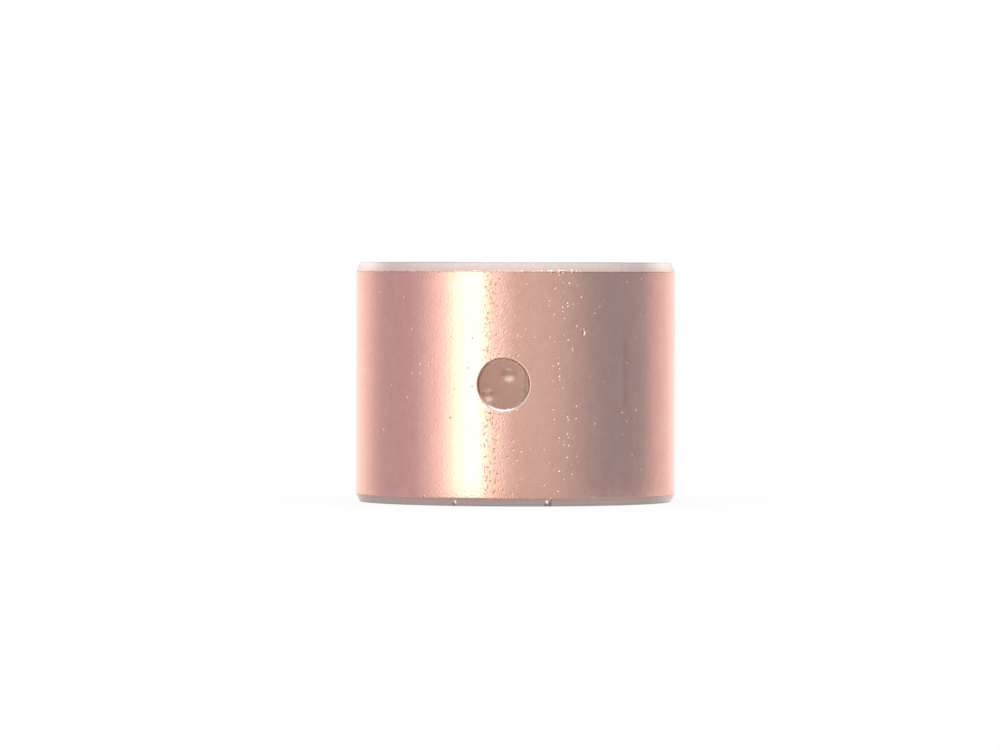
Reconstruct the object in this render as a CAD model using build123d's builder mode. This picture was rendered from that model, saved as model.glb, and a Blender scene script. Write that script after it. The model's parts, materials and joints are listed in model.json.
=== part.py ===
"""Wrapped bimetal plain bearing bushing: a steel strip lined with bronze, rolled into a sleeve.

The sleeve stands on its lower end with its axis on Z. The lubrication hole points along -Y, and the
butt joint where the two ends of the rolled strip meet is opposite it, along +Y. Round indents that
hold grease are pressed into the bronze in staggered rows. All sizes are in millimetres.
"""

from build123d import *
from math import asin, cos, degrees, pi, sin, sqrt
import os

# The sleeve.
bore_diameter = 36.0
wall_thickness = 2.0
sleeve_length = 30.0

# The lead-in chamfers, long and slim outside as the press fit needs, short inside.
top_chamfer_length = 1.15
bottom_chamfer_length = 1.0
outer_chamfer_depth = 0.5
inner_chamfer = 0.5

# The butt joint between the two ends of the rolled strip.
joint_gap = 0.12

# The lubrication hole, punched at mid-length, with its outer edge broken.
oil_hole_diameter = 6.1
oil_hole_edge_break = 0.25

# The indents in the bore, each a shallow bowl of few faces: a sloping side round a flat floor.
indent_diameter = 1.8
indent_floor_diameter = 1.0
indent_depth = 0.25
indent_sides = 6
indents_in_a_row = 20
row_pitch = 2.65
row_offset = 0.66  # from mid-length up to the nearest row
joint_to_indent = 6.84  # degrees, from the joint to the first indent of that row

# What follows from them.
bore_radius = bore_diameter / 2
outer_radius = bore_radius + wall_thickness
mid_length = sleeve_length / 2
joint_angle = 90.0  # degrees from +X
indent_pitch = 360 / indents_in_a_row
lowest_indent = inner_chamfer + indent_diameter / 2
highest_indent = sleeve_length - inner_chamfer - indent_diameter / 2

# How much further the corners of a regular polygon reach than the circle of the same area.
corner_reach = sqrt(2 * pi / (indent_sides * sin(2 * pi / indent_sides)))
rim_ring = corner_reach * indent_diameter / 2
floor_ring = corner_reach * indent_floor_diameter / 2

# An indent that the joint would cut is left out, so none is nearer to it than this, in degrees.
nearest_to_joint = degrees(asin((rim_ring + joint_gap) / bore_radius))


def indent_corners():
    """Corners of one indent on the +X side: a ring at its floor, and a ring as far inside the bore."""
    inside_ring = 2 * rim_ring - floor_ring  # the side goes on inwards at the same slope
    rings = [(bore_radius + indent_depth, floor_ring), (bore_radius - indent_depth, inside_ring)]
    corners = []
    for reach, ring in rings:
        for number in range(indent_sides):
            turn = 2 * pi * number / indent_sides
            corners.append((reach, ring * sin(turn), ring * cos(turn)))
    return corners


def indent_places():
    """The height and the turn about the axis of each indent, in rows staggered by half a pitch."""
    places = []
    first_row = -int((mid_length + row_offset) // row_pitch)
    last_row = int((mid_length - row_offset) // row_pitch)
    for row in range(first_row, last_row + 1):
        height = mid_length + row_offset + row * row_pitch
        if not lowest_indent < height < highest_indent:
            continue
        stagger = indent_pitch / 2 if row % 2 else 0.0
        for number in range(indents_in_a_row):
            turn = joint_to_indent + stagger + number * indent_pitch
            if min(turn % 360, -turn % 360) > nearest_to_joint:
                places.append(Location((0, 0, height), (0, 0, joint_angle + turn)))
    return places


with BuildPart() as bushing:
    # The wall's section, with all four chamfers, turned about the axis.
    with BuildSketch(Plane.XZ):
        with BuildLine():
            Polyline(
                (bore_radius, inner_chamfer),
                (bore_radius + inner_chamfer, 0),
                (outer_radius - outer_chamfer_depth, 0),
                (outer_radius, bottom_chamfer_length),
                (outer_radius, sleeve_length - top_chamfer_length),
                (outer_radius - outer_chamfer_depth, sleeve_length),
                (bore_radius + inner_chamfer, sleeve_length),
                (bore_radius, sleeve_length - inner_chamfer),
                close=True,
            )
        make_face()
    revolve(axis=Axis.Z)

    # The indents.
    with Locations(indent_places()):
        ConvexPolyhedron(indent_corners(), mode=Mode.SUBTRACT)

    # The butt joint, a fine slit through the wall over the whole length.
    with BuildSketch(Plane.XY):
        with Locations((0, bore_radius + wall_thickness / 2)):
            Rectangle(joint_gap, 2 * wall_thickness)
    extrude(amount=sleeve_length, mode=Mode.SUBTRACT)

    # The lubrication hole through the front wall.
    with BuildSketch(Plane.XZ.offset(bore_radius - wall_thickness)):
        with Locations((0, mid_length)):
            Circle(oil_hole_diameter / 2)
    extrude(amount=3 * wall_thickness, mode=Mode.SUBTRACT)
    hole_rim = bushing.edges(Select.LAST).sort_by(Axis.Y)[0]
    chamfer(hole_rim, oil_hole_edge_break)

bushing.part.label = "bushing"

os.makedirs("parts", exist_ok=True)
export_step(bushing.part, "parts/bushing.step")
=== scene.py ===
"""Dresses a wrapped bimetal plain bearing bushing: copper flash, turned chamfers, bronze with ball indents.

The sleeve is one closed surface worked out from a few sizes, with one finish that knows by place which of its
three metals shows. The studio is a round pale card, a soft panel on the left and grey screens at the sides.
"""

import json

import bmesh
import bpy
import numpy as np
from bpy.props import FloatProperty, FloatVectorProperty, IntProperty, PointerProperty
from mathutils import Matrix, Vector


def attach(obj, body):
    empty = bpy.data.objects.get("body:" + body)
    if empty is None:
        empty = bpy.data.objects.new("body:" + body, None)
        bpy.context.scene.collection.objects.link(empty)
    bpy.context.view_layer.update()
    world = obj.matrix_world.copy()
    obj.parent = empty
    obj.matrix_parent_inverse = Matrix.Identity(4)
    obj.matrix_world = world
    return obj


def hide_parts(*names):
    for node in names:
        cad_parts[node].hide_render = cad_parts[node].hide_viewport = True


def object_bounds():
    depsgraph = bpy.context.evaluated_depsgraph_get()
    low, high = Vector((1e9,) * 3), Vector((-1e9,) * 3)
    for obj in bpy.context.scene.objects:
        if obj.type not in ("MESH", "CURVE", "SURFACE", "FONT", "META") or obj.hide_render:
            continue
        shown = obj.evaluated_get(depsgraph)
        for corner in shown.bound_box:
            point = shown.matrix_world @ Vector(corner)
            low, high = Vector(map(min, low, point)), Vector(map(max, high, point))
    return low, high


bl_info = {
    "name": "Bimetal bushing",
    "version": (1, 0, 0),
    "blender": (4, 5, 0),
    "location": "3D View > Sidebar > Bushing",
    "description": "Builds the finished surface of a wrapped bimetal bushing and its studio",
    "category": "Object",
}

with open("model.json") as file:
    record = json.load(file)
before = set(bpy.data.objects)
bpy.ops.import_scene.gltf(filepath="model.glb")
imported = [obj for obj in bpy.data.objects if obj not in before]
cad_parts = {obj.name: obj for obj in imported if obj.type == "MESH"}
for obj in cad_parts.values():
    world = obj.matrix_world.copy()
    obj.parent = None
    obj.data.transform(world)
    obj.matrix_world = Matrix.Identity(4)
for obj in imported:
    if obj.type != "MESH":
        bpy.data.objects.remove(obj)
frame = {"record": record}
cad_box = [list(corner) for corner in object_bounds()]

MM = 0.001
DEGREE = np.pi / 180
TURN = 2 * np.pi
NODE = "bushing"
MOUNTS = {mount["name"]: mount for mount in frame["record"]["mounts"]}
JOINT_ANGLE = 90 * DEGREE  # the butt joint lies along +Y, the lubrication hole along -Y
HOLE_ANGLE = -90 * DEGREE
CELL_LINES = 4  # divisions of each side of an indent's cell
SMOOTH_BELOW = 24 * DEGREE  # edges that turn more than this are drawn sharp
WELD = 1e-7  # points nearer to each other than this are one
RUBBED_WIDTH = 2.5  # how wide the joint's edges are rubbed, in times their depth
CLEAR_OF_JOINT = 1.2  # how far an indent's middle stays from the joint, in radii of its rim
INDENT_RINGS = (1.14, 0.93, 0.55)  # in radii of the rim, from outside in
SHIFTED_STEPS = 2  # columns nearer to the joint than this many steps are shifted, so that one lies in it
BREAK_ROUND = 0.33  # rounding of the hole's broken edge, in shares of its size
MOUTH_ROUND = 0.5  # rounding of its edge at the bore, in roundings of an edge
# How far the rings of those two edges go on beside them, in roundings of an edge, and under the broken
# edge in its sizes.
LEAD_OUTSIDE = 4
LEAD_UNDER = 3
LEAD_IN_TUNNEL = 6
LEAD_ON_BORE = 2
WINDOW_RINGS = 12  # rings between the hole and the cells round it
WINDOW_CROWDING = 1.4  # how much closer together they are near the hole: their spread is raised to this power
NICKS = (
    # (turn from the side of the hole in degrees, height in mm, reach in mm, how far it stands proud in mm)
    (29.0, 21.30, 0.24, -0.16),
    (28.8, 21.75, 0.16, -0.08),
    (16.0, 0.25, 0.55, 0.50),
    (17.0, 0.85, 0.22, 0.14),
    (-17.7, 0.20, 0.50, 0.30),
    (-29.9, 1.10, 0.16, 0.09),
    (17.1, 28.86, 0.20, 0.10),
    (19.8, 28.84, 0.18, 0.10),
    (24.6, 28.86, 0.22, 0.10),
    (26.4, 28.88, 0.14, 0.07),
)
NICK_SQUAT = 0.6  # a nick is longer upwards than sideways


def mount_size(mount, size):
    """A size of one of the frame's mounts, in metres."""
    return MOUNTS[mount]["dims"][size] * MM


def length(name, description, default):
    """A property that holds a length."""
    return FloatProperty(name=name, description=description, default=default, unit="LENGTH", precision=5)


def share(name, description, default, largest=1.0):
    """A property that holds a plain number from nought to its largest."""
    return FloatProperty(name=name, description=description, default=default, min=0.0, max=largest)


def angle(name, description, degrees):
    """A property that holds an angle."""
    return FloatProperty(name=name, description=description, default=degrees * DEGREE, unit="ROTATION")


def colour(name, description, default):
    """A property that holds a colour, in linear light."""
    limits = {"subtype": "COLOR", "min": 0, "max": 1}
    return FloatVectorProperty(name=name, description=description, default=default, **limits)


class BushingSizes(bpy.types.PropertyGroup):
    """Sizes of the sleeve, the same ones that its construction is drawn from."""

    bore_radius: length("Bore radius", "Radius of the bronze bore", mount_size("bore", "r_mm"))
    outer_radius: length("Outer radius", "Radius of the plated outside", mount_size("outside", "r_mm"))
    sleeve_length: length("Length", "Length of the sleeve", cad_box[1][2] - cad_box[0][2])
    top_chamfer: length("Top chamfer", "Length of the upper outer chamfer", 1.15 * MM)
    bottom_chamfer: length("Bottom chamfer", "Length of the lower outer chamfer", 1.0 * MM)
    chamfer_depth: length("Chamfer depth", "Depth of both outer chamfers", 0.5 * MM)
    inner_chamfer: length("Inner chamfer", "Size of both chamfers of the bore", 0.5 * MM)
    joint_gap: length("Joint gap", "Width of the butt joint", 0.12 * MM)
    joint_round: length("Joint edge", "How far the edges of the butt joint are rubbed down", 0.03 * MM)
    hole_radius: length("Hole radius", "Radius of the lubrication hole", mount_size("oil_hole", "r_mm"))
    hole_break: length("Hole edge", "Broken outer edge of the lubrication hole", 0.25 * MM)
    edge_round: length("Edge rounding", "Rounding of the turned edges", 0.05 * MM)
    lining: length("Lining", "Thickness of the bronze lining", 0.45 * MM)


class IndentPattern(bpy.types.PropertyGroup):
    """The ball indents pressed into the bronze, in rows staggered by half a pitch."""

    radius: length("Radius", "Radius of an indent's rim", 0.9 * MM)
    depth: length("Depth", "Depth of an indent", 0.25 * MM)
    in_a_row: IntProperty(name="In a row", description="Indents in one row round the bore", default=20, min=4)
    row_pitch: length("Row pitch", "Height from one row to the next", 2.65 * MM)
    row_offset: length("Row offset", "Height of the nearest row above mid-length", 0.66 * MM)
    from_joint: angle("From the joint", "Turn from the butt joint to the first indent of that row", 6.84)


class BushingFinish(bpy.types.PropertyGroup):
    """Colours and surfaces of the three metals."""

    copper: colour("Copper flash", "Colour of the plated outside", (0.91, 0.515, 0.42))
    steel: colour("Bare steel", "Colour of the turned chamfers and ends", (0.73, 0.63, 0.60))
    bronze: colour("Bronze", "Colour of the sintered lining", (0.86, 0.675, 0.60))
    tarnish: colour("Tarnish", "Colour of the wrinkles in the rubbed strip", (0.46, 0.42, 0.28))
    fresh: colour("Fresh copper", "Colour of the bright pits", (0.97, 0.72, 0.62))
    copper_roughness: share("Copper roughness", "Roughness of the plated outside", 0.17)
    steel_roughness: share("Steel roughness", "Roughness of the turned steel", 0.30)
    bronze_roughness: share("Bronze roughness", "Roughness of the lining", 0.39)
    peel_size: length("Peel size", "Width of the ripples in the plating", 0.32 * MM)
    peel_height: length("Peel height", "Height of the ripples in the plating", 0.014 * MM)
    dimple_spacing: length("Dimple spacing", "Mean distance between the shallow dimples", 0.36 * MM)
    dimple_depth: length("Dimple depth", "Depth of a shallow dimple", 0.008 * MM)
    wrinkle_depth: length("Wrinkle depth", "Depth of the wrinkles of the rubbed strip", 0.036 * MM)
    rub_turn: angle("Rubbed strip", "Turn of the wrinkled strip from the side of the hole", -4.0)
    rub_width: angle("Rub width", "How far the wrinkled strip reaches to either side", 5.0)
    pit_spacing: length("Pit spacing", "Mean distance between the places for pits", 0.55 * MM)
    pit_radius: length("Pit radius", "Largest radius of a pit", 0.19 * MM)
    pit_depth: length("Pit depth", "Depth of a pit", 0.10 * MM)
    scuff_turn: angle("Scuffed strip", "Turn of the strip with more pits, from the side of the hole", 20.4)
    scuff_width: angle("Scuff width", "How far the strip reaches to either side", 9.0)
    flank_turn: angle("Pitted flank", "Turn of a second strip with more pits", 0.5)
    smear_turn: angle("Smear", "Turn of the faint upright smear from the side of the hole", 47.1)
    smear_height: length("Smear height", "Height of the middle of the smear", 16.4 * MM)


class BushingStudio(bpy.types.PropertyGroup):
    """The camera, the card and the light round the sleeve."""

    azimuth: angle("Azimuth", "Turn of the camera about the sleeve, from the side of the hole", 4.2)
    distance: length("Distance", "Distance of the camera from the axis", 868 * MM)
    camera_height: length("Camera height", "Height of the camera above the card", 29.07 * MM)
    aim_height: length("Aim height", "Height that the camera looks at", 15.85 * MM)
    aim_left: length("Aim left", "How far left of the axis the camera looks", 1.94 * MM)
    roll: angle("Roll", "Turn of the camera about its own line of sight", 0.13)
    lens: FloatProperty(name="Lens", description="Focal length", default=248.9, subtype="DISTANCE_CAMERA")
    card_radius: length("Card radius", "Radius of the pale card under the sleeve", 40 * MM)
    card: colour("Card", "Colour of the card", (0.62, 0.62, 0.62))
    # Painted shade and light: the card's glow as the metal mirrors it, grey in front and white behind.
    card_front: colour("Card in front", "How the metal mirrors the card in front of it", (0.52, 0.50, 0.52))
    card_behind: colour("Card behind", "How the metal mirrors the card behind it", (1.0, 1.0, 1.0))
    shadow: share("Shadow", "How much of the sleeve's shadow shows on the card", 0.12)
    upper_light: share("Upper light", "Level of the light from high up", 1.05, 5.0)
    back_light: share("Back light", "Level of the backdrop a little above the sleeve", 1.5, 5.0)
    zenith_light: share("Zenith light", "Level of the light from straight above", 4.2, 9.0)


# Paths and grids.


def rounded(corners, cut, steps=4):
    """An open path with its inner corners rounded.

    From a point at the cut's length before a corner P to one as far after it runs the parabola
    (1-t)^2 A + 2t(1-t) P + t^2 C. A guard point stands one more cut away on each side, so that the
    straight stretches keep flat shading.
    """
    corners = np.asarray(corners, float)
    here = corners[1:-1]
    before = corners[:-2] - here
    after = corners[2:] - here
    before = before / np.linalg.norm(before, axis=1, keepdims=True) * cut
    after = after / np.linalg.norm(after, axis=1, keepdims=True) * cut
    t = np.linspace(0, 1, steps + 1)[None, :, None]
    start = (here + before)[:, None]
    end = (here + after)[:, None]
    curve = (1 - t) ** 2 * start + 2 * t * (1 - t) * here[:, None] + t**2 * end
    guarded = np.concatenate([(here + 2 * before)[:, None], curve, (here + 2 * after)[:, None]], axis=1)
    return np.concatenate([corners[:1], guarded.reshape(-1, 2), corners[-1:]])


def grid_faces(rows, columns, closed=False):
    """Four-cornered faces of a grid of rows and columns of points, closed round its columns if asked."""
    across = columns if closed else columns - 1
    i, j = np.meshgrid(np.arange(rows - 1), np.arange(across), indexing="ij")
    k = (j + 1) % columns
    low, high = i * columns, (i + 1) * columns
    return np.stack([low + j, low + k, high + k, high + j], -1).reshape(-1, 4)


def rim_of(width, height):
    """Grid places (column, row) round the rim of a block of cells, once round from its first corner."""
    across, up = np.arange(width), np.arange(height)
    columns = np.concatenate([across, np.full(height, width), width - across, np.zeros(height, int)])
    rows = np.concatenate([np.zeros(width, int), up, np.full(width, height), height - up])
    return columns, rows


def doubled(loop):
    """A closed loop of points with the middle of each side added."""
    twice = np.repeat(loop, 2, axis=0)
    twice[1::2] = (loop + np.roll(loop, -1, axis=0)) / 2
    return twice


class Surface:
    """Points and faces gathered from several grids, then welded into one mesh."""

    def __init__(self):
        self.points = []
        self.faces = []
        self.count = 0

    def add(self, points, faces):
        """Adds faces, which number the points from nought, and those of the points that they use."""
        faces = np.asarray(faces)
        used, numbers = np.unique(faces, return_inverse=True)
        self.faces += (numbers.reshape(-1, faces.shape[-1]) + self.count).tolist()
        self.points.append(points.reshape(-1, 3)[used])
        self.count += len(used)

    def mesh(self, name):
        """One welded mesh with its faces turned outwards."""
        mesh = bpy.data.meshes.new(name)
        mesh.from_pydata(np.concatenate(self.points).tolist(), [], self.faces)
        work = bmesh.new()
        work.from_mesh(mesh)
        bmesh.ops.remove_doubles(work, verts=work.verts, dist=WELD)
        bmesh.ops.recalc_face_normals(work, faces=work.faces)
        open_edges = sum(not edge.is_manifold for edge in work.edges)
        work.to_mesh(mesh)
        work.free()
        if open_edges:
            raise RuntimeError(f"{name} has {open_edges} open edges")
        mesh.shade_smooth()
        mesh.set_sharp_from_angle(angle=SMOOTH_BELOW)
        return mesh


# The sleeve.


def bowl_depth(distance, pattern):
    """Depth of a ball indent at a distance from its middle: a ball through the rim and the deepest point."""
    ball = (pattern.radius**2 + pattern.depth**2) / (2 * pattern.depth)
    inside = np.minimum(distance, pattern.radius)
    return pattern.depth - ball + np.sqrt(ball**2 - inside**2)


class Lattice:
    """The lines that the whole sleeve shares: cells half a pitch wide and a row high, each finely divided.

    Every second cell of a row holds an indent, and the rows are staggered, so the cells form a chequer.
    """

    def __init__(self, sizes, pattern):
        self.sizes = sizes
        self.pattern = pattern
        self.cells_round = 2 * pattern.in_a_row

        # The rows that fit between the bore's chamfers.
        middle = sizes.sleeve_length / 2
        reach = sizes.inner_chamfer + pattern.radius
        most = int(sizes.sleeve_length / pattern.row_pitch)
        rows = np.arange(-most, most + 1)
        heights = middle + pattern.row_offset + rows * pattern.row_pitch
        kept = (heights > reach) & (heights < sizes.sleeve_length - reach)
        self.rows = rows[kept]
        self.heights = heights[kept]

        # Turns of the columns from the joint: the cells' lines, and the ends of the joint's rubbed edges.
        step = TURN / (self.cells_round * CELL_LINES)
        line = pattern.from_joint - step * CELL_LINES / 2 + step * np.arange(self.cells_round * CELL_LINES)
        line = np.sort((line + step / 2) % TURN - step / 2)
        off = line[0]
        line = np.append(line, off + TURN)
        from_joint = np.minimum(np.abs(line - off), np.abs(line - off - TURN))
        line = line - off * np.clip(1 - from_joint / (SHIFTED_STEPS * step), 0, 1)
        rubbed = (sizes.joint_gap / 2 + RUBBED_WIDTH * sizes.joint_round) / sizes.outer_radius
        self.columns = np.concatenate([[0, rubbed], line[1:-1], [TURN - rubbed, TURN]])
        edge = pattern.from_joint - step * CELL_LINES / 2
        self.first_edge = int(np.argmin(np.abs(self.columns - edge % TURN)))

        # Heights of the cells' lines.
        low = self.heights[0] - pattern.row_pitch / 2
        self.lines = low + pattern.row_pitch / CELL_LINES * np.arange(len(self.heights) * CELL_LINES + 1)

    def angles(self, radii):
        """Angle of each column at each radius. The joint's two sides stay parallel, a gap apart."""
        radii = np.asarray(radii, float)
        angles = JOINT_ANGLE + np.broadcast_to(self.columns, radii.shape + self.columns.shape).copy()
        lean = np.arcsin(self.sizes.joint_gap / 2 / radii)
        angles[..., 0] += lean
        angles[..., -1] -= lean
        return angles

    def turned(self, path):
        """The path's points (radius, height) carried round the axis: (r cos a, r sin a, z) on every column.

        At the joint's two edges the wall is rubbed down, outside and in, in proportion to the distance from
        the middle of the wall.
        """
        radius = np.repeat(path[:, :1], len(self.columns), axis=1)
        half_wall = (self.sizes.outer_radius - self.sizes.bore_radius) / 2
        rub = self.sizes.joint_round * (path[:, 0] - self.sizes.bore_radius - half_wall) / half_wall
        radius[:, 0] -= rub
        radius[:, -1] -= rub
        angles = self.angles(path[:, 0])
        height = np.broadcast_to(path[:, 1:], radius.shape)
        return np.stack([radius * np.cos(angles), radius * np.sin(angles), height], -1)

    def cell_has_indent(self):
        """True for each cell (round, up) that holds an indent: a chequer, less what the joint would cut."""
        number = np.arange(self.cells_round)[:, None]
        chequer = (number + self.rows[None, :]) % 2 == 0
        turn = self.pattern.from_joint + number * TURN / self.cells_round
        nearest = np.minimum(turn % TURN, -turn % TURN)
        clear = nearest > np.arcsin(CLEAR_OF_JOINT * self.pattern.radius / self.sizes.bore_radius)
        return chequer & clear


def end_path(sizes, end, inwards, chamfer, bore_line, wall_line):
    """One end of the section as a path (radius, height): from the bore over the end to the outside wall."""
    corners = [
        (sizes.bore_radius, bore_line),
        (sizes.bore_radius, end + inwards * sizes.inner_chamfer),
        (sizes.bore_radius + sizes.inner_chamfer, end),
        (sizes.outer_radius - sizes.chamfer_depth, end),
        (sizes.outer_radius, end + inwards * chamfer),
        (sizes.outer_radius, wall_line),
    ]
    return rounded(corners, sizes.edge_round)


def add_indents(surface, lattice, bore_grid, cells):
    """Adds one patch for each indent: rings from the cell's rim in to the middle of a ball's print.

    A ring's points lie on lines from the middle to the rim's points. Their depth is the ball's, and the
    outermost ring lies on the bore, so the print's edge is a little soft.
    """
    sizes, pattern = lattice.sizes, lattice.pattern
    columns, rows = rim_of(CELL_LINES, CELL_LINES)
    rim = len(columns)
    across = lattice.first_edge + cells[:, :1] * CELL_LINES + columns
    up = cells[:, 1:] * CELL_LINES + rows
    cell_rim = bore_grid[up, across]
    centre_angle = JOINT_ANGLE + pattern.from_joint + cells[:, 0] * TURN / lattice.cells_round
    height = lattice.heights[cells[:, 1]]
    turn = lattice.columns[across] + JOINT_ANGLE - centre_angle[:, None]
    flat = np.stack([turn * sizes.bore_radius, lattice.lines[up] - height[:, None]], -1)
    spokes = flat / np.linalg.norm(flat, axis=-1, keepdims=True)
    ring_radii = np.array(INDENT_RINGS) * pattern.radius
    ring_depths = bowl_depth(ring_radii, pattern)
    ring_depths[0] = 0
    offsets = spokes[:, None] * ring_radii[None, :, None, None]
    ring_angle = centre_angle[:, None, None] + offsets[..., 0] / sizes.bore_radius
    ring_radius = sizes.bore_radius + ring_depths[None, :, None]
    ring_height = height[:, None, None] + offsets[..., 1]
    rings = np.stack([ring_radius * np.cos(ring_angle), ring_radius * np.sin(ring_angle), ring_height], -1)
    deepest = sizes.bore_radius + pattern.depth
    middle = np.stack([deepest * np.cos(centre_angle), deepest * np.sin(centre_angle), height], -1)
    stack = np.concatenate([cell_rim[:, None], rings], axis=1)
    per_cell = stack.shape[1] * rim
    starts = np.arange(len(cells)) * per_cell
    bands = grid_faces(stack.shape[1], rim, closed=True)
    surface.add(stack, (starts[:, None, None] + bands).reshape(-1, 4))
    last = (stack.shape[1] - 1) * rim + np.arange(rim)
    fan = np.stack([last, np.roll(last, -1), np.full(rim, per_cell)], -1)
    fan_points = np.concatenate([stack.reshape(len(cells), per_cell, 3), middle[:, None]], axis=1)
    fan_starts = np.arange(len(cells)) * (per_cell + 1)
    surface.add(fan_points, (fan_starts[:, None, None] + fan).reshape(-1, 3))


def hole_rings(lattice, flat_rim, indent_places):
    """Rings of the lubrication hole, from the outside wall through to the bore, as points (ring, spoke).

    Points are laid out in the plane that faces the hole, as x to the side and h up from its middle, and
    lifted onto a wall of radius R by y = -sqrt(R^2 - x^2). The tunnel's section is a path of (distance from
    the hole's middle, depth under the wall), with its corners rounded.
    """
    sizes, pattern = lattice.sizes, lattice.pattern
    middle = sizes.sleeve_length / 2
    wide_rim = doubled(flat_rim)
    spokes = wide_rim / np.linalg.norm(wide_rim, axis=1, keepdims=True)

    def lift(flat, radius, outwards):
        """The points of a ring lifted onto the wall, and moved outwards from it."""
        side, up = flat[..., 0], flat[..., 1]
        return np.stack([side, -np.sqrt(radius**2 - side**2) - outwards, middle + up], -1)

    def bore_at(flat):
        """Radius of the bore at each point, an indent's depth included."""
        turn = np.arcsin(flat[..., 0] / sizes.bore_radius)
        arc = turn[..., None] * sizes.bore_radius - indent_places[:, 0]
        up = flat[..., 1][..., None] - indent_places[:, 1]
        return sizes.bore_radius + bowl_depth(np.hypot(arc, up), pattern).max(axis=-1)

    lead = sizes.edge_round
    narrow, broken = sizes.hole_radius, sizes.hole_break
    wide = narrow + broken
    outer = [(wide + LEAD_OUTSIDE * lead, 0), (wide, 0), (narrow, broken), (narrow, LEAD_UNDER * broken)]
    inner = [(narrow, LEAD_IN_TUNNEL * lead), (narrow, 0), (narrow + LEAD_ON_BORE * lead, 0)]
    outside = rounded(outer, BREAK_ROUND * broken)
    inside = rounded(inner, MOUTH_ROUND * lead)
    spread = np.linspace(1, 0, WINDOW_RINGS + 2)[1:-1, None, None] ** WINDOW_CROWDING
    ratio = sizes.outer_radius / sizes.bore_radius
    outer_start = spokes * outside[0, 0]
    outer_window = outer_start + (ratio * wide_rim - outer_start) * spread
    mouth = spokes * outside[:, :1, None]
    throat = spokes * inside[:, :1, None]
    inner_start = spokes * inside[-1, 0]
    inner_window = inner_start + (wide_rim - inner_start) * spread[::-1]
    rings = [
        lift(outer_window, sizes.outer_radius, 0),
        lift(mouth, sizes.outer_radius, -outside[:, 1:]),
        lift(throat, bore_at(throat), inside[:, 1:]),
        lift(inner_window, bore_at(inner_window), 0),
    ]
    return np.concatenate(rings)


def add_band(surface, rim, ring):
    """Joins a rim to a ring of twice as many points by five-cornered faces, one for each side of the rim."""
    count = len(rim)
    i = np.arange(count)
    after = (i + 1) % count
    faces = np.stack([i, after, count + 2 * after, count + 2 * i + 1, count + 2 * i], -1)
    surface.add(np.concatenate([rim, ring]), faces)


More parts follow.
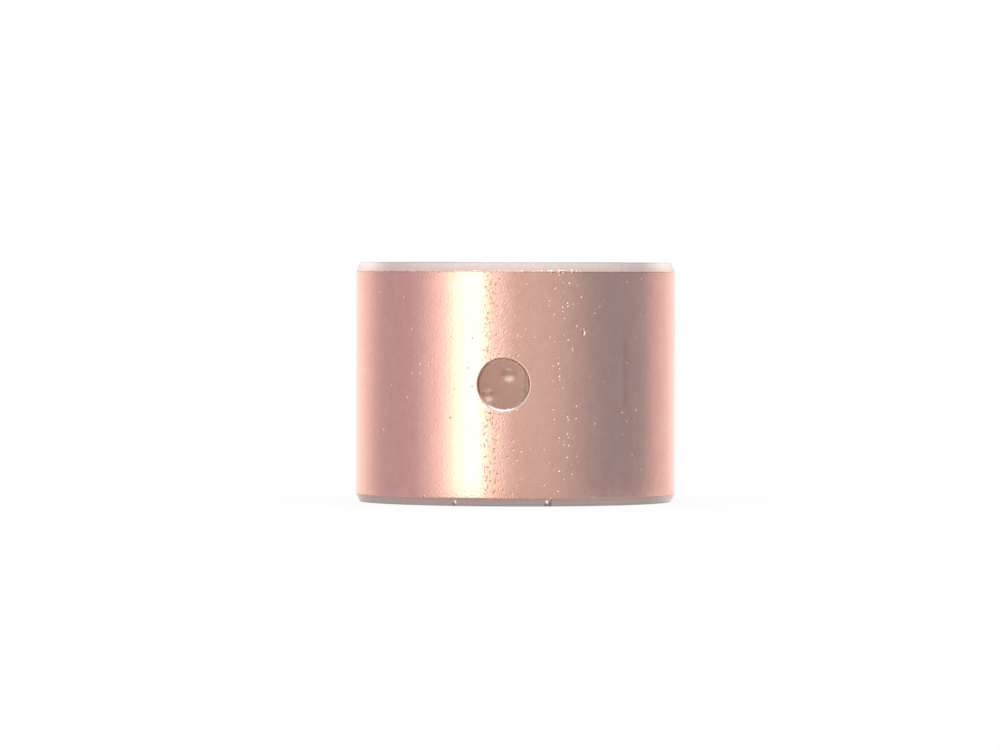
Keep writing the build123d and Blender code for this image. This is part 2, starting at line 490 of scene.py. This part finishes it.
def sleeve_mesh(sizes, pattern):
    """The sleeve as one closed surface.

    The section is carried round the axis between the joint's two sides. The bore's cells that hold an
    indent, and the block of cells round the lubrication hole, are left out of the grid and filled by their
    own patches, and the section closes each side of the joint.
    """
    lattice = Lattice(sizes, pattern)
    surface = Surface()
    columns = len(lattice.columns)
    middle = sizes.sleeve_length / 2
    ratio = sizes.outer_radius / sizes.bore_radius

    # The block of cells round the hole.
    clear = sizes.hole_radius + sizes.hole_break
    cell = TURN / lattice.cells_round
    hole_turn = (HOLE_ANGLE - JOINT_ANGLE) % TURN
    half = np.arcsin(clear / sizes.bore_radius)
    first_edge_turn = lattice.columns[lattice.first_edge]
    left = int(np.floor((hole_turn - half - first_edge_turn) / cell))
    right = int(np.ceil((hole_turn + half - first_edge_turn) / cell))
    low = int(np.floor((middle - clear - lattice.lines[0]) / pattern.row_pitch))
    high = int(np.ceil((middle + clear - lattice.lines[0]) / pattern.row_pitch))
    left_line = lattice.first_edge + left * CELL_LINES
    right_line = lattice.first_edge + right * CELL_LINES
    block_lines = lattice.lines[low * CELL_LINES : high * CELL_LINES + 1]
    outer_lines = middle + (block_lines - middle) * ratio

    # The bore.
    bore_path = np.stack([np.full(len(lattice.lines), sizes.bore_radius), lattice.lines], -1)
    bore_grid = lattice.turned(bore_path)
    quads = grid_faces(len(lattice.lines), columns).reshape(len(lattice.lines) - 1, columns - 1, 4)
    cell_round = (np.arange(columns - 1) - lattice.first_edge) // CELL_LINES
    cell_up = np.arange(len(lattice.lines) - 1) // CELL_LINES
    has_indent = lattice.cell_has_indent()
    in_block = (cell_round[None, :] >= left) & (cell_round[None, :] < right)
    in_block = in_block & (cell_up[:, None] >= low) & (cell_up[:, None] < high)
    filled = has_indent[cell_round[None, :] % lattice.cells_round, cell_up[:, None]] | in_block
    surface.add(bore_grid, quads[~filled])
    cells = np.argwhere(has_indent)
    blocked = (cells[:, 0] >= left) & (cells[:, 0] < right) & (cells[:, 1] >= low) & (cells[:, 1] < high)
    add_indents(surface, lattice, bore_grid, cells[~blocked])

    # The ends and the outside wall.
    top = sizes.sleeve_length
    upper = end_path(sizes, top, -1, sizes.top_chamfer, lattice.lines[-1], outer_lines[-1])
    lower = end_path(sizes, 0, 1, sizes.bottom_chamfer, lattice.lines[0], outer_lines[0])
    upper_grid, lower_grid = lattice.turned(upper), lattice.turned(lower)
    surface.add(upper_grid, grid_faces(len(upper), columns))
    surface.add(lower_grid, grid_faces(len(lower), columns))
    wall_path = np.stack([np.full(len(outer_lines), sizes.outer_radius), outer_lines], -1)
    wall_grid = lattice.turned(wall_path)
    wall_quads = grid_faces(len(outer_lines), columns).reshape(len(outer_lines) - 1, columns - 1, 4)
    line = np.arange(columns - 1)
    beside_hole = (line < left_line) | (line >= right_line)
    surface.add(wall_grid, wall_quads[:, beside_hole])

    # The hole.
    across, up = rim_of(right_line - left_line, len(block_lines) - 1)
    turn = lattice.columns[left_line + across] - hole_turn
    flat_rim = np.stack([sizes.bore_radius * np.sin(turn), block_lines[up] - middle], -1)
    nearby = cells[blocked]
    arc = (pattern.from_joint + nearby[:, 0] * cell - hole_turn) * sizes.bore_radius
    indent_places = np.stack([arc, lattice.heights[nearby[:, 1]] - middle], -1)
    rings = hole_rings(lattice, flat_rim, indent_places)
    surface.add(rings, grid_faces(rings.shape[0], rings.shape[1], closed=True))
    add_band(surface, wall_grid[up, left_line + across], rings[0])
    add_band(surface, bore_grid[low * CELL_LINES + up, left_line + across], rings[-1])

    # The two sides of the joint.
    for side in (0, -1):
        section = np.concatenate([
            bore_grid[:, side],
            upper_grid[1:, side],
            wall_grid[-2:0:-1, side],
            lower_grid[:0:-1, side],
        ])
        surface.add(section, [np.arange(len(section))])
    return surface.mesh("bushing_sleeve")


# The finish.

GRAIN_MIDDLE = 0.5  # of any grain's values
GRAINS = {
    # name: (size in mm, detail, roughness of the detail) of each kind of unevenness
    "border": (0.50, 3.0, 0.5),
    "streak": (0.70, 2.0, 0.5),
    "blotch": (2.20, 3.0, 0.6),
    "mottle": (0.90, 2.0, 0.5),
    "speckle": (0.30, 2.0, 0.5),
    # the grain of the painted shade along the top border of the plating
    "top_shade_grain": (1.10, 2.0, 0.5),
    "wrinkle": (0.26, 1.0, 0.5),
    "steel": (0.80, 3.0, 0.5),
    "bronze": (0.60, 4.0, 0.65),
    "burr": (0.25, 1.0, 0.5),
    "lathe": (0.05, 2.0, 0.5),
    "sinter": (0.22, 3.0, 0.6),
}
STEPS = {
    # name: (start, end) of a soft step, in mm from the edge that it belongs to
    "top border": (-0.02, 0.03),
    "bottom border": (-0.03, 0.02),
    "top smudge": (0.0, 1.0),
    "bottom smudge": (-0.9, 0.0),
    # where the painted shade along the top border of the plating starts and ends
    "start of the lip": (-0.16, -0.08),
    "end of the lip": (0.0, 0.08),
    "burrs": (0.03, 0.20),
    "rim line upwards": (-0.12, -0.05),
    "rim line outwards": (-0.08, -0.02),
    "round the hole": (0.15, 0.40),
    "under the wall": (-0.030, -0.005),
    "on the wall": (-0.030, -0.012),
    "on the hole's edge": (-0.5, -0.3),
    "joint": (0.06, 0.10),
    "lining": (-0.03, 0.03),
    "smear sideways": (0.1, 0.7),
    "smear upwards": (3.2, 4.6),
}

# Borders of the metals.
WAVER = 0.16 * MM  # how far the borders waver
SMUDGE_SHARE = 0.45  # how much copper is smudged over the chamfers beside the borders
SMUDGE_TONE = 0.75
LOW_SLANT = 1.4  # how much more height counts than side in what is low on the right of the hole
LOW_STEP = (-0.3, 0.5)  # where that starts and is full, in radii of the hole
JOINT_SHADE = 0.26  # how much of the metal's shine is lost inside the butt joint

# Marks of the plating.
STREAK_STRETCH = 0.05  # the inverse of how much longer than wide a streak is
BEND_SIZE = 0.15 * MM  # wrinkles and pits are bent out of round by random shifts that change over this size
BEND_REACH = 0.12 * MM
RUB_WAVER = 0.08  # how far the edges of the wrinkled strip waver, in radians
RUB_CORE = 0.2  # share of that strip's width over which it is full
STRIP_CORE = 0.3  # the same for the strips of pits
DIMPLE_RADIUS = 0.3  # in mean distances between the dimples
WRINKLE_SQUAT = 0.6  # a wrinkle is longer upwards than sideways
WRINKLES = (0.56, 0.72)  # wrinkles are where their grain passes these levels
BURRS = (0.5, 0.8)  # and burrs these
PIT_CHANCE = 0.07  # share of the places that hold a pit, and what each of the two strips adds to it
SCUFF_CHANCE = 0.42
FLANK_CHANCE = 0.35
CHANCE_STEP = 0.02
SMALLEST_PIT = 0.60  # in shares of the largest
TARNISH_SHARE = 0.55  # how much of the tarnish's colour a wrinkle takes

# Tones. A pair is the tone or shade at least, and what the grain adds to it.
COPPER_TONE = 0.80
COPPER_MARKS = {
    # mark: how much it adds to the tone of the copper
    "blotch": 0.14,
    "mottle": 0.11,
    "streak": 0.06,
    "speckle": 0.09,
    "smear": -0.10,
    "wrinkled": -0.14,
}
# Painted shade along the top border of the plating.
TOP_BORDER_SHADE = (0.10, 0.30)
# Painted shade on the hole's broken edge, on the copper and on the bare steel.
BREAK_SHADE = 0.30
STEEL_TONE = (0.92, 0.16)
STEEL_BREAK_SHADE = 0.25
# Painted shade round the upper end's outer edge.
RIM_LINE_SHADE = 0.5
BRONZE_TONE = (0.88, 0.24)
JOINT_TONE = 0.45

# Roughness and relief.
BLOTCH_ROUGHNESS = 0.08
STREAK_ROUGHNESS = 0.05
STEEL_ROUGHENING = 0.4  # how much the roughness follows the tone
BRONZE_ROUGHENING = 0.3
BURR_HEIGHT = 0.05  # in mm, as are the next two
LATHE_HEIGHT = 0.0022
SINTER_HEIGHT = 0.006


class Wire:
    """A shader's value. Arithmetic on it adds Math nodes, and node() adds any other."""

    def __init__(self, tree, socket=None):
        self.tree = tree
        self.socket = socket

    def node(self, kind, settings=None, values=None, out=0):
        """The output of a new node: its settings go in first, then the values or links of its sockets."""
        made = self.tree.nodes.new(kind)
        for name, setting in (settings or {}).items():
            setattr(made, name, setting)
        for name, value in (values or {}).items():
            if isinstance(value, Wire):
                self.tree.links.new(value.socket, made.inputs[name])
            else:
                made.inputs[name].default_value = value
        return Wire(self.tree, made.outputs[out] if made.outputs else None)

    def maths(self, operation, *others):
        """A Math node on this value and up to two others."""
        return self.node("ShaderNodeMath", {"operation": operation}, dict(enumerate((self, *others))))

    def __add__(self, other):
        return self.maths("ADD", other)

    def __sub__(self, other):
        return self.maths("SUBTRACT", other)

    def __rsub__(self, other):
        return self.maths("MULTIPLY_ADD", -1, other)

    def __mul__(self, other):
        return self.maths("MULTIPLY", other)

    def __truediv__(self, other):
        return self.maths("DIVIDE", other)

    __radd__ = __add__
    __rmul__ = __mul__

    def away(self):
        """How far the value is from nought, to either side."""
        return self.maths("ABSOLUTE")

    def root(self):
        """The value's square root."""
        return self.maths("SQRT")

    def rise(self, start, end):
        """Nought up to the start, one from the end, and a smooth step between them."""
        values = {"Value": self, "From Min": start, "From Max": end}
        return self.node("ShaderNodeMapRange", {"interpolation_type": "SMOOTHSTEP"}, values)

    def past(self, name):
        """Nought short of a step of the table, one past it. The value is a distance from the step's edge."""
        start, end = STEPS[name]
        return self.rise(start * MM, end * MM)

    def between(self, first, second):
        """The first value where this mask is nought, the second where it is one."""
        return first + (second - first) * self

    def blend(self, first, second):
        """The first colour where this mask is nought, the second where it is one."""
        return self.node("ShaderNodeMix", {"data_type": "RGBA"}, {0: self, 6: first, 7: second}, out=2)

    def shade(self, tint):
        """The colour, darkened or lightened by this value."""
        return self.node("ShaderNodeVectorMath", {"operation": "SCALE"}, {0: tint, 3: self})

    def vector(self, operation, *others, out=0):
        """A Vector Math node on this vector and up to two others. With out=1, a number."""
        terms = dict(enumerate((self, *others)))
        return self.node("ShaderNodeVectorMath", {"operation": operation}, terms, out)

    def parts(self):
        """A vector's three parts."""
        first = self.node("ShaderNodeSeparateXYZ", None, {0: self})
        return [Wire(self.tree, socket) for socket in first.socket.node.outputs]

    def noise(self, size, detail=2.0, roughness=0.5, out=0):
        """Smooth random values from nought to one that change over the given size. With out=1, a vector."""
        values = {"Vector": self, "Scale": 1 / size, "Detail": detail, "Roughness": roughness}
        return self.node("ShaderNodeTexNoise", None, values, out)

    def grain(self, name):
        """The random values of one kind of unevenness."""
        size, detail, roughness = GRAINS[name]
        return self.noise(size * MM, detail, roughness)

    def cells(self, spacing):
        """The distance to the nearest of many random places, and that place's random colour."""
        values = {"Vector": self, "Scale": 1 / spacing, "Randomness": 1.0}
        distance = self.node("ShaderNodeTexVoronoi", {"feature": "F1"}, values)
        return distance * spacing, Wire(self.tree, distance.socket.node.outputs["Color"])


def grey(level):
    """A grey colour of that level."""
    return (level, level, level, 1)


def solid(tint):
    """A property's colour with full alpha."""
    return (*tint, 1)


def fresh_wire(data):
    """The start of a new node tree in a material or a world."""
    data.use_nodes = True
    data.node_tree.nodes.clear()
    return Wire(data.node_tree)


class Spot:
    """Where a shaded point lies: its coordinates, its distance from the axis and its turn from the hole."""

    def __init__(self, wire):
        self.point = wire.node("ShaderNodeTexCoord", out="Object")
        self.x, self.y, self.z = self.point.parts()
        self.radius = (self.x * self.x + self.y * self.y).root()
        self.turn = self.x.maths("ARCTAN2", 0 - self.y)

    def combined(self, x, y, z):
        """A vector of those three parts."""
        return self.point.node("ShaderNodeCombineXYZ", None, {0: x, 1: y, 2: z})

    def uneven(self, name, levels):
        """The first of two levels, with as much of the second as the grain of that name gives."""
        least, added = levels
        return least + self.point.grain(name) * added

    def strip(self, turn, width):
        """An upright strip round that turn, full over its core and faded out at its width on either side."""
        return 1 - (self.turn - turn).away().rise(STRIP_CORE * width, width)


class Metals:
    """Masks, from nought to one, for where each metal shows and for what goes along its borders.

    Copper flash covers the outside wall up to wavering borders at the two chamfers, and the hole's broken
    edge apart from its low right side. That split by side is painted light: bare steel stands for the
    highlight on the low right, and copper for the shade on the rest. Bronze is what lies nearer to the axis
    than the lining's outer radius. The rest is bare turned steel.
    """

    def __init__(self, spot, sizes):
        waver = (spot.point.grain("border") - GRAIN_MIDDLE) * WAVER
        over_top_border = spot.z - (sizes.sleeve_length - sizes.top_chamfer)
        over_bottom_border = spot.z - sizes.bottom_chamfer
        uneven_top = over_top_border + waver
        uneven_bottom = over_bottom_border + waver
        above_top = uneven_top.past("top border")
        above_bottom = uneven_bottom.past("bottom border")

        # Copper smudged over both chamfers, most of it close to their borders.
        on_top_chamfer = (1 - over_top_border.past("top smudge")) * above_top
        on_bottom_chamfer = over_bottom_border.past("bottom smudge") * (1 - above_bottom)
        self.smudge = (on_top_chamfer + on_bottom_chamfer) * SMUDGE_SHARE

        # Painted shade: a dark line along the top border of the plating, wavering with it. And the burrs
        # along both borders.
        self.top_border_shade = uneven_top.past("start of the lip") * (1 - uneven_top.past("end of the lip"))
        self.burred = 1 - uneven_top.away().maths("MINIMUM", uneven_bottom.away()).past("burrs")

        # Painted shade: a dark line round the upper end's outer edge.
        near_top = (spot.z - sizes.sleeve_length).past("rim line upwards")
        end_rim = sizes.outer_radius - sizes.chamfer_depth
        self.rim_line = near_top * (spot.radius - end_rim).past("rim line outwards")

        # The hole's broken edge: painted shade all round it, and its low right side left bare as a painted
        # highlight.
        over_middle = spot.z - sizes.sleeve_length / 2
        from_hole = (spot.x * spot.x + over_middle * over_middle).root() - sizes.hole_radius
        over_wall = spot.radius - sizes.outer_radius
        off_edge = (from_hole + waver).past("round the hole")
        self.broken = (1 - off_edge) * (1 - over_wall.past("under the wall"))
        low_start, low_end = LOW_STEP
        slanted = spot.x - over_middle * LOW_SLANT
        low_right = slanted.rise(low_start * sizes.hole_radius, low_end * sizes.hole_radius)
        front = 1 - spot.y.rise(-sizes.bore_radius, -sizes.bore_radius / 2)
        on_break = front * (1 - low_right) * over_wall.past("on the hole's edge")
        covered = over_wall.past("on the wall").maths("MAXIMUM", on_break)

        self.plated = (1 - above_top) * above_bottom * covered
        self.lined = 1 - (spot.radius + waver - (sizes.bore_radius + sizes.lining)).past("lining")
        self.in_joint = (1 - spot.x.away().past("joint")) * spot.y.rise(0, sizes.bore_radius) * JOINT_SHADE


class Marks:
    """Masks, from nought to one, for the marks of the plating."""

    def __init__(self, spot, sizes, finish):
        # Soft blotches, specks, and upright streaks from the rolls.
        around = spot.turn * sizes.outer_radius
        self.streak = spot.combined(around, spot.radius, spot.z * STREAK_STRETCH).grain("streak")
        self.blotch = spot.point.grain("blotch")
        self.mottle = spot.point.grain("mottle")
        self.speckle = spot.point.grain("speckle")

        # One faint upright smear.
        beside = ((spot.turn - finish.smear_turn) * sizes.outer_radius).away().past("smear sideways")
        beyond = (spot.z - finish.smear_height).away().past("smear upwards")
        self.smear = (1 - beside) * (1 - beyond)

        # The strip that the rolls wrinkled.
        shift = spot.point.noise(BEND_SIZE, out=1)
        self.bent = shift.vector("MULTIPLY_ADD", (BEND_REACH,) * 3, spot.point)
        off_strip = (spot.turn - finish.rub_turn).away() + (self.blotch - GRAIN_MIDDLE) * RUB_WAVER
        rubbed = 1 - off_strip.rise(RUB_CORE * finish.rub_width, finish.rub_width)
        squat = self.bent.vector("MULTIPLY", (1, 1, WRINKLE_SQUAT))
        self.wrinkled = squat.grain("wrinkle").rise(*WRINKLES) * rubbed

        # Pits: a random cell holds one if its chance is small enough, and the two strips want more of them.
        near, pick = self.bent.cells(finish.pit_spacing)
        chance, size, _ = pick.parts()
        self.scuffed = spot.strip(finish.scuff_turn, finish.scuff_width)
        flank = spot.strip(finish.flank_turn, finish.scuff_width)
        wanted = PIT_CHANCE + self.scuffed * SCUFF_CHANCE + flank * FLANK_CHANCE
        self.pit_size = SMALLEST_PIT + (1 - SMALLEST_PIT) * size
        inside = 1 - (near / self.pit_size).rise(0, finish.pit_radius)
        self.pitted = inside * (wanted - chance).rise(0, CHANCE_STEP)


def nick_heights(spot, sizes):
    """The nicks' height in mm: each a soft bump or dent round its place on the wall or the lower chamfer."""
    squat = spot.point.vector("MULTIPLY", (1, 1, NICK_SQUAT))
    heights = 0
    for side, up, reach, proud in NICKS:
        under_wall = sizes.chamfer_depth * max(0, 1 - up * MM / sizes.bottom_chamfer)
        radius = sizes.outer_radius - under_wall
        centre = (radius * np.sin(side * DEGREE), -radius * np.cos(side * DEGREE), up * MM * NICK_SQUAT)
        inside = 1 - squat.vector("DISTANCE", centre, out=1).rise(0, reach * MM)
        heights = heights + inside * proud
    return heights


def sleeve_relief(spot, metals, marks, sizes, finish):
    """The relief in mm: ripples, dimples, wrinkles and pits of the plating, nicks, burrs and bare grain."""
    ripples = spot.point.noise(finish.peel_size) * (finish.peel_height / MM)
    to_dimple, _ = marks.bent.cells(finish.dimple_spacing)
    in_dimple = 1 - to_dimple.rise(0, DIMPLE_RADIUS * finish.dimple_spacing)
    dimples = in_dimple * (-finish.dimple_depth / MM)
    wrinkles = marks.wrinkled * (-finish.wrinkle_depth / MM)
    pits = marks.pitted * marks.pit_size * (-finish.pit_depth / MM)
    plating = (ripples + dimples + wrinkles + pits) * metals.plated
    burrs = spot.point.grain("burr").rise(*BURRS) * metals.burred * (1 - metals.lined) * BURR_HEIGHT
    lathe = spot.combined(spot.radius, 0, spot.z).grain("lathe") * LATHE_HEIGHT
    sinter = spot.point.grain("sinter") * SINTER_HEIGHT
    bare = lathe * (1 - metals.plated) * (1 - metals.lined) + sinter * metals.lined
    return plating + nick_heights(spot, sizes) + burrs + bare


def sleeve_material(sizes, finish):
    """The sleeve's three metals, told apart by place, each with its tone, its roughness and its relief."""
    material = bpy.data.materials.new("plated_sleeve")
    wire = fresh_wire(material)
    spot = Spot(wire)
    metals = Metals(spot, sizes)
    marks = Marks(spot, sizes, finish)

    # Tones.
    # Painted shade along the top border of the plating.
    copper_tone = COPPER_TONE - metals.top_border_shade * spot.uneven("top_shade_grain", TOP_BORDER_SHADE)
    for name, amount in COPPER_MARKS.items():
        copper_tone = copper_tone + getattr(marks, name) * amount
    # Painted shade on the hole's broken edge.
    copper_tone = copper_tone - metals.broken * BREAK_SHADE
    joint_tone = 1 - metals.in_joint * JOINT_TONE
    steel_tone = spot.uneven("steel", STEEL_TONE) * joint_tone
    # Painted shade on the bare steel: round the upper end's outer edge and on the hole's broken edge.
    steel_tone = steel_tone * (1 - metals.rim_line * RIM_LINE_SHADE) * (1 - metals.broken * STEEL_BREAK_SHADE)
    bronze_tone = spot.uneven("bronze", BRONZE_TONE) * joint_tone

    # Colours.
    plating = (marks.wrinkled * TARNISH_SHARE).blend(solid(finish.copper), solid(finish.tarnish))
    plating = (marks.pitted * marks.scuffed).blend(plating, solid(finish.fresh))
    smudge = solid(SMUDGE_TONE * channel for channel in finish.copper)
    bare = metals.smudge.blend(steel_tone.shade(finish.steel), smudge)
    outside = metals.plated.blend(bare, copper_tone.shade(plating))
    base = metals.lined.blend(outside, bronze_tone.shade(finish.bronze))

    # Roughness.
    copper_rough = finish.copper_roughness + (marks.blotch - GRAIN_MIDDLE) * BLOTCH_ROUGHNESS
    copper_rough = copper_rough + (marks.streak - GRAIN_MIDDLE) * STREAK_ROUGHNESS
    steel_rough = finish.steel_roughness + (steel_tone - 1) * STEEL_ROUGHENING
    bronze_rough = finish.bronze_roughness + (bronze_tone - 1) * BRONZE_ROUGHENING
    rough = metals.lined.between(metals.plated.between(steel_rough, copper_rough), bronze_rough)

    relief = sleeve_relief(spot, metals, marks, sizes, finish)
    shader = wire.node("ShaderNodeBsdfPrincipled", None, {
        "Base Color": base,
        "Metallic": 1 - metals.in_joint,
        "Roughness": rough.maths("MAXIMUM", metals.in_joint),
        "Normal": wire.node("ShaderNodeBump", None, {"Strength": 1.0, "Distance": MM, "Height": relief}),
    })
    wire.node("ShaderNodeOutputMaterial", None, {"Surface": shader})
    return material


# The studio.

BEHIND = (1.14, 1.06, 1.00, 1)  # light from behind the sleeve, low down
SCREENS = (
    # (turn from the camera's side in degrees, softness in degrees, light beyond it), from left to right
    (-130, 46, (0.56, 0.53, 0.63, 1)),
    (-68, 28, (1.00, 0.98, 1.02, 1)),
    (-45, 32, (2.90, 2.80, 2.45, 1)),
    (-22, 12, (1.32, 1.32, 1.30, 1)),
    (-10, 26, (0.70, 0.73, 0.73, 1)),
    (42, 56, (0.36, 0.43, 0.50, 1)),
    (114, 36, (0.80, 0.74, 0.78, 1)),
    (142, 36, BEHIND),
)
# Each pair is the angle in degrees where a light starts and the one from which it is full.
BACKDROP_TURN = (112, 142)
BACKDROP_HEIGHT = (5, 16)
UPPER_HEIGHT = (20, 36)
ZENITH_HEIGHT = (60, 72)
# Where the card's glow shows in the metal: painted shade in front, painted light behind.
GLOW_EDGE = (18.5 * MM, 19.5 * MM)  # the card glows in the metal from here outwards, and not inside the bore
GLOW_FRONT = (-10 * MM, 2 * MM)  # from front to back, where its glow turns from the front's to the backdrop's
GLOW_SHARE = 0.8


def above(height, angles):
    """The step between two elevations, for the height of a direction of length one."""
    return height.rise(*np.sin(np.multiply(angles, DEGREE)).tolist())


def studio_world(studio):
    """White behind everything, and for the metal a soft panel, grey screens and the light above.

    Going round from behind the sleeve, the light passes from that of one of the screens to that of the next
    over each edge. Higher up it passes into the backdrop's, behind the sleeve, and then into the light from
    above.
    """
    world = bpy.data.worlds.new("studio")
    wire = fresh_wire(world)
    x, y, z = wire.node("ShaderNodeTexCoord", out="Generated").parts()
    turn = x.maths("ARCTAN2", 0 - y) - studio.azimuth
    light = BEHIND
    for middle, softness, beyond in SCREENS:
        edge = turn.rise((middle - softness / 2) * DEGREE, (middle + softness / 2) * DEGREE)
        light = edge.blend(light, beyond)
    start, end = BACKDROP_TURN
    behind = turn.away().rise(start * DEGREE, end * DEGREE)
    light = (above(z, BACKDROP_HEIGHT) * behind).blend(light, grey(studio.back_light))
    light = above(z, UPPER_HEIGHT).blend(light, grey(studio.upper_light))
    light = above(z, ZENITH_HEIGHT).blend(light, grey(studio.zenith_light))
    seen = wire.node("ShaderNodeLightPath", out="Is Camera Ray")
    shown = seen.blend(light, grey(1))
    background = wire.node("ShaderNodeBackground", None, {"Color": shown, "Strength": 1.0})
    wire.node("ShaderNodeOutputWorld", None, {"Surface": background})
    return world


def card_material(studio):
    """Pale card: for the camera mostly the backdrop's white, with a share of its real shading for the shadow.

    The metal mirrors it as a glow: grey in front, which is painted shade, and as bright as the lit backdrop
    behind, which is painted light.
    """
    material = bpy.data.materials.new("pale_card")
    wire = fresh_wire(material)
    seen = wire.node("ShaderNodeLightPath", out="Is Camera Ray")
    mirrored = wire.node("ShaderNodeLightPath", out="Is Glossy Ray")
    point = wire.node("ShaderNodeTexCoord", out="Object")
    _, y, _ = point.parts()
    outside_bore = point.vector("LENGTH", out=1).rise(*GLOW_EDGE)
    # Painted shade and light: the glow that the metal mirrors, grey in front and white behind.
    mirrored_shade_and_light = y.rise(*GLOW_FRONT).blend(solid(studio.card_front), solid(studio.card_behind))
    paper = wire.node("ShaderNodeBsdfDiffuse", None, {"Color": solid(studio.card)})
    glow = wire.node("ShaderNodeEmission", None, {"Color": seen.blend(mirrored_shade_and_light, grey(1)), "Strength": 1.0})
    amount = seen * (1 - studio.shadow) + mirrored * outside_bore * GLOW_SHARE
    surface = wire.node("ShaderNodeMixShader", None, {0: amount, 1: paper, 2: glow})
    wire.node("ShaderNodeOutputMaterial", None, {"Surface": surface})
    return material


def disc_mesh(name, radius, points=96):
    """A flat round face, (R cos a, R sin a, 0)."""
    turn = np.linspace(0, TURN, points, endpoint=False)
    rim = np.stack([radius * np.cos(turn), radius * np.sin(turn), np.zeros(points)], -1)
    mesh = bpy.data.meshes.new(name)
    mesh.from_pydata(rim.tolist(), [], [list(range(points))])
    return mesh


def place(name, data):
    """Puts new data in the scene as an object at the origin."""
    thing = bpy.data.objects.new(name, data)
    bpy.context.scene.collection.objects.link(thing)
    return thing


def add_camera(studio):
    """The camera at its distance and height, turned to its aim and then about its own line of sight."""
    data = bpy.data.cameras.new("camera")
    data.lens = studio.lens
    camera = place("camera", data)
    back = Vector((np.sin(studio.azimuth), -np.cos(studio.azimuth), 0))
    left = Vector((-np.cos(studio.azimuth), -np.sin(studio.azimuth), 0))
    spot = back * studio.distance
    spot.z = studio.camera_height
    aim = left * studio.aim_left
    aim.z = studio.aim_height
    look = (aim - spot).to_track_quat("-Z", "Y").to_matrix().to_4x4()
    camera.matrix_world = Matrix.Translation(spot) @ look @ Matrix.Rotation(studio.roll, 4, "Z")
    bpy.context.scene.camera = camera


class BUSHING_OT_sleeve(bpy.types.Operator):
    """Builds the finished sleeve in place of its construction solid"""

    bl_idname = "bushing.sleeve"
    bl_label = "Build the sleeve"

    def execute(self, context):
        scene = context.scene
        sleeve = place("bushing_sleeve", sleeve_mesh(scene.bushing_sizes, scene.bushing_indents))
        sleeve.data.materials.append(sleeve_material(scene.bushing_sizes, scene.bushing_finish))
        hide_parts(NODE)
        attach(sleeve, "root")
        return {"FINISHED"}


class BUSHING_OT_stage(bpy.types.Operator):
    """Lays the pale card, sets the light round it and places the camera"""

    bl_idname = "bushing.stage"
    bl_label = "Set the stage"

    def execute(self, context):
        scene = context.scene
        studio = scene.bushing_studio
        card = place("pale_card", disc_mesh("pale_card", studio.card_radius))
        card.data.materials.append(card_material(studio))
        scene.world = studio_world(studio)
        scene.view_settings.view_transform = "Standard"
        add_camera(studio)
        return {"FINISHED"}


class BUSHING_PT_panel(bpy.types.Panel):
    """Sizes, finish and studio of the bushing"""

    bl_label = "Bimetal bushing"
    bl_space_type = "VIEW_3D"
    bl_region_type = "UI"
    bl_category = "Bushing"

    def draw(self, context):
        for name, _ in SETTINGS:
            group = getattr(context.scene, name)
            for setting in group.bl_rna.properties.keys():
                if setting not in ("rna_type", "name"):
                    self.layout.prop(group, setting)
        self.layout.operator(BUSHING_OT_sleeve.bl_idname)
        self.layout.operator(BUSHING_OT_stage.bl_idname)


SETTINGS = (
    ("bushing_sizes", BushingSizes),
    ("bushing_indents", IndentPattern),
    ("bushing_finish", BushingFinish),
    ("bushing_studio", BushingStudio),
)
CLASSES = (*(group for _, group in SETTINGS), BUSHING_OT_sleeve, BUSHING_OT_stage, BUSHING_PT_panel)


def register():
    """Makes the classes known and hangs the settings on the scene."""
    for made in CLASSES:
        bpy.utils.register_class(made)
    for name, group in SETTINGS:
        setattr(bpy.types.Scene, name, PointerProperty(type=group))


def unregister():
    """Takes the settings and the classes away again."""
    for name, _ in SETTINGS:
        delattr(bpy.types.Scene, name)
    for made in reversed(CLASSES):
        bpy.utils.unregister_class(made)


def main():
    """Builds everything in order."""
    register()
    bpy.ops.bushing.sleeve()
    bpy.ops.bushing.stage()
    bpy.context.view_layer.update()


if __name__ == "__main__":
    main()
